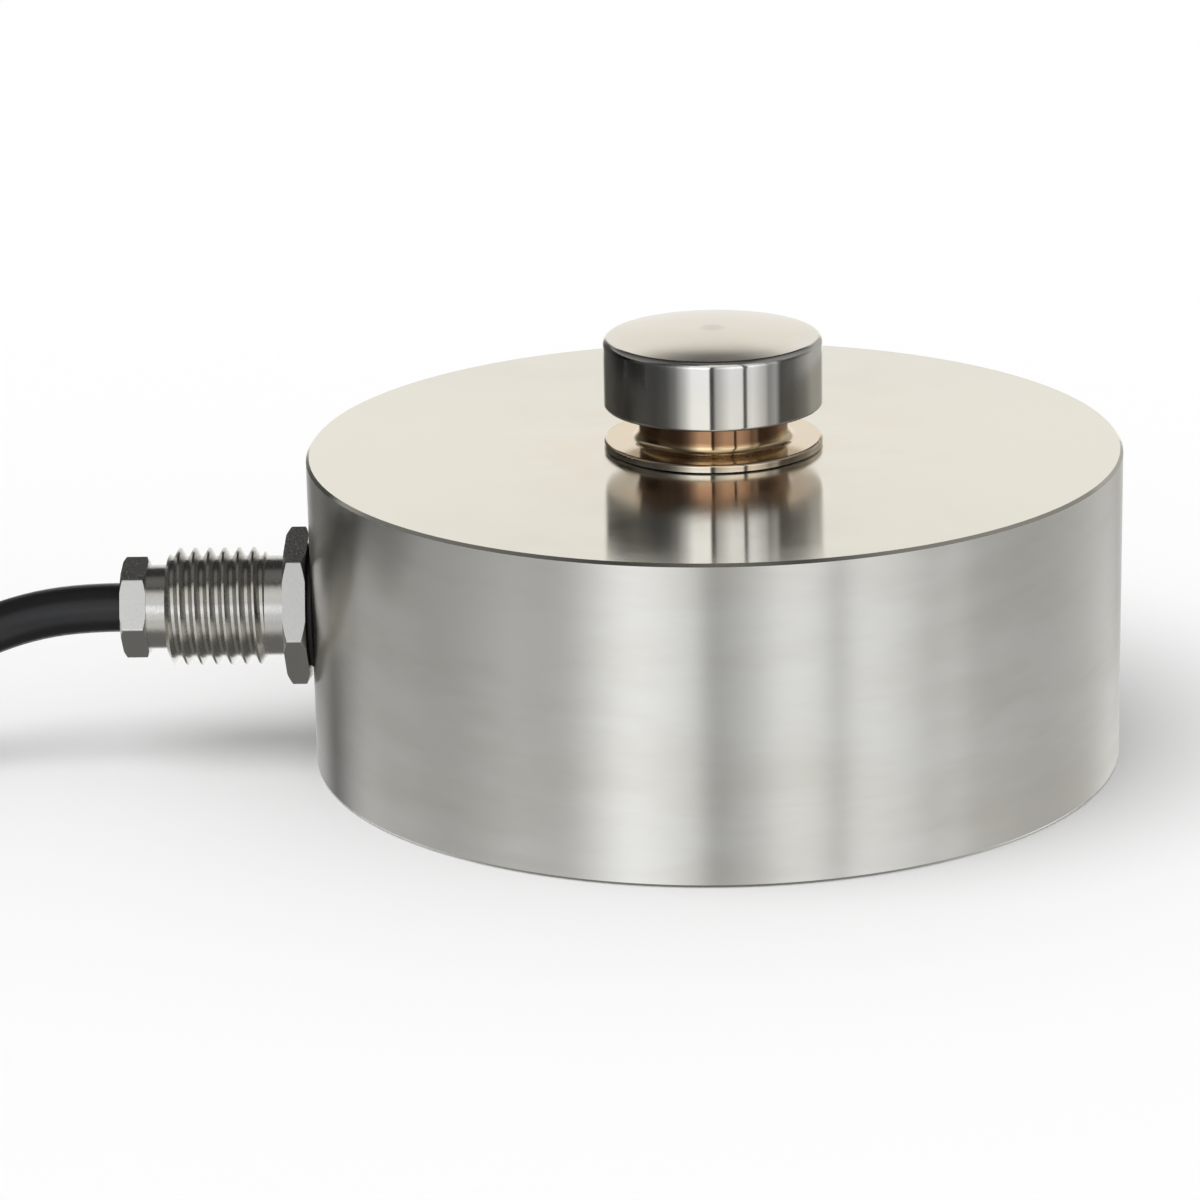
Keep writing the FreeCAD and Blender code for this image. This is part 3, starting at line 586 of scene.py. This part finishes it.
def studio_world(scene):
    """White to the camera; to glossy surfaces a studio of pale walls and dark cards.

    A soft lamp hangs in front, above the camera. The ceiling is dark along its middle, and it starts
    higher in front than behind.
    """
    world = bpy.data.worlds.new("studio")
    scene.world = world
    world.use_nodes = True
    tree = world.node_tree
    tree.nodes.clear()
    way = add_node(tree, "ShaderNodeTexCoord").outputs["Generated"]
    parts = add_node(tree, "ShaderNodeSeparateXYZ", {"Vector": way})
    right, height = parts.outputs["X"], parts.outputs["Z"]
    towards = add_node(tree, "ShaderNodeMath", {0: parts.outputs["Y"], 1: -1.0}, operation="MULTIPLY")
    towards = towards.outputs["Value"]

    lift = add_node(tree, "ShaderNodeMapRange", {
        "Value": towards, "From Min": 0.0, "From Max": 0.4, "To Max": 0.29},
        interpolation_type="SMOOTHSTEP")
    raised = add_node(tree, "ShaderNodeMath", {0: height, 1: lift.outputs["Result"]}, operation="SUBTRACT")
    lamp = add_node(tree, "ShaderNodeVectorMath", {0: way, 1: LAMP_WAY}, operation="DOT_PRODUCT")
    ceiling = lay_over(tree, brightness_ramp(tree, right, CEILING), (0.18, 0.18, 0.175, 1),
                       (height, 0.92, 0.975))
    room = lay_over(tree, studio_walls(tree, right, towards, height), ceiling,
                    (raised.outputs["Value"], 0.425, 0.51))
    room = lay_over(tree, room, (0.9, 0.9, 0.88, 1), (lamp.outputs["Value"], 0.93, 0.97))
    room = lay_over(tree, room, (0.2, 0.2, 0.195, 1), (height, -0.6, -0.85))

    ray = add_node(tree, "ShaderNodeLightPath")
    seen = add_node(tree, "ShaderNodeMath", {
        0: ray.outputs["Is Camera Ray"], 1: ray.outputs["Is Transmission Ray"]}, operation="MAXIMUM")
    shown = lay_over(tree, (0.7, 0.7, 0.7, 1), room, (ray.outputs["Is Glossy Ray"], 0, 1))
    shown = lay_over(tree, shown, WHITE, (seen.outputs["Value"], 0, 1))
    light = add_node(tree, "ShaderNodeBackground", {"Color": shown, "Strength": 1.0})
    add_node(tree, "ShaderNodeOutputWorld", {"Surface": light.outputs["Background"]})


def studio_floor(studio):
    """A round, matt white floor just under the foot, which the metals don't mirror."""
    mesh = bpy.data.meshes.new("floor")
    shape = bmesh.new()
    bmesh.ops.create_circle(shape, cap_ends=True, segments=64, radius=studio.floor_radius)
    shape.to_mesh(mesh)
    shape.free()
    matt, *_ = new_material("floor, matt white", Base_Color=(0.95, 0.95, 0.95, 1), Roughness=1.0,
                            Specular_IOR_Level=0.0)
    mesh.materials.append(matt)
    floor = bpy.data.objects.new("floor", mesh)
    floor.location.z = -FLOOR_GAP
    floor.visible_glossy = False
    return floor


def studio_light(studio):
    """A wide, soft light from above, a little to the left and in front."""
    lamp = bpy.data.lights.new("soft sky", "SUN")
    lamp.angle = studio.light_spread
    lamp.energy = studio.light
    soft_sky = bpy.data.objects.new("soft sky", lamp)
    soft_sky.location = SKY_WAY
    soft_sky.rotation_euler = (-SKY_WAY).to_track_quat("-Z", "Y").to_euler()
    soft_sky.visible_glossy = False
    return soft_sky


def studio_camera(studio):
    """A camera that looks at the foot's middle, then turned by pan, tilt and roll."""
    eye = Vector((0, -studio.distance * math.cos(studio.elevation),
                  studio.distance * math.sin(studio.elevation)))
    ahead = -eye.normalized()
    right = ahead.cross(Vector((0, 0, 1))).normalized()
    up = right.cross(ahead)
    view = Matrix((right, up, -ahead)).transposed()
    turn = Matrix.Rotation(studio.tilt, 3, "X") @ Matrix.Rotation(studio.roll, 3, "Z")
    view = view @ Matrix.Rotation(-studio.pan, 3, "Y") @ turn
    lens = bpy.data.cameras.new("camera")
    lens.lens = studio.focal_length
    lens.sensor_width = 36
    lens.clip_start = 10 * MM
    camera = bpy.data.objects.new("camera", lens)
    camera.matrix_world = Matrix.Translation(eye) @ view.to_4x4()
    return camera


class LOADCELL_OT_stage(bpy.types.Operator):
    """Makes the pale floor, the soft light and the camera"""

    bl_idname = "loadcell.stage"
    bl_label = "Stage"

    def execute(self, context):
        scene = context.scene
        studio = scene.load_cell_studio
        scene.view_settings.view_transform = "Standard"
        studio_world(scene)
        floor = studio_floor(studio)
        soft_sky = studio_light(studio)
        camera = studio_camera(studio)
        for item in (floor, soft_sky, camera):
            scene.collection.objects.link(item)
        scene.camera = camera
        return {"FINISHED"}


class LOADCELL_PT_panel(bpy.types.Panel):
    """Lists the steps that dress the load cell"""

    bl_idname = "LOADCELL_PT_panel"
    bl_label = "Load cell"
    bl_space_type = "VIEW_3D"
    bl_region_type = "UI"
    bl_category = "Load cell"

    def draw(self, context):
        for group in (context.scene.load_cell_finish, context.scene.load_cell_cable,
                      context.scene.load_cell_studio):
            box = self.layout.box()
            for name in group.bl_rna.properties.keys():
                if name not in {"rna_type", "name"}:
                    box.prop(group, name)
        for operator in OPERATORS:
            self.layout.operator(operator.bl_idname)


GROUPS = {
    "load_cell_finish": LoadCellFinish,
    "load_cell_cable": LoadCellCable,
    "load_cell_studio": LoadCellStudio,
}
OPERATORS = (LOADCELL_OT_body, LOADCELL_OT_button, LOADCELL_OT_gland, LOADCELL_OT_cable_end,
             LOADCELL_OT_cable, LOADCELL_OT_inside, LOADCELL_OT_stage)


def register():
    for kind in (*GROUPS.values(), *OPERATORS, LOADCELL_PT_panel):
        bpy.utils.register_class(kind)
    for name, kind in GROUPS.items():
        setattr(bpy.types.Scene, name, PointerProperty(type=kind))


def unregister():
    for name in GROUPS:
        delattr(bpy.types.Scene, name)
    for kind in reversed((*GROUPS.values(), *OPERATORS, LOADCELL_PT_panel)):
        bpy.utils.unregister_class(kind)


def main():
    register()
    bpy.ops.loadcell.body()
    bpy.ops.loadcell.button()
    bpy.ops.loadcell.gland()
    bpy.ops.loadcell.cable_end()
    bpy.ops.loadcell.cable()
    bpy.ops.loadcell.inside()
    bpy.ops.loadcell.stage()


if __name__ == "__main__":
    main()
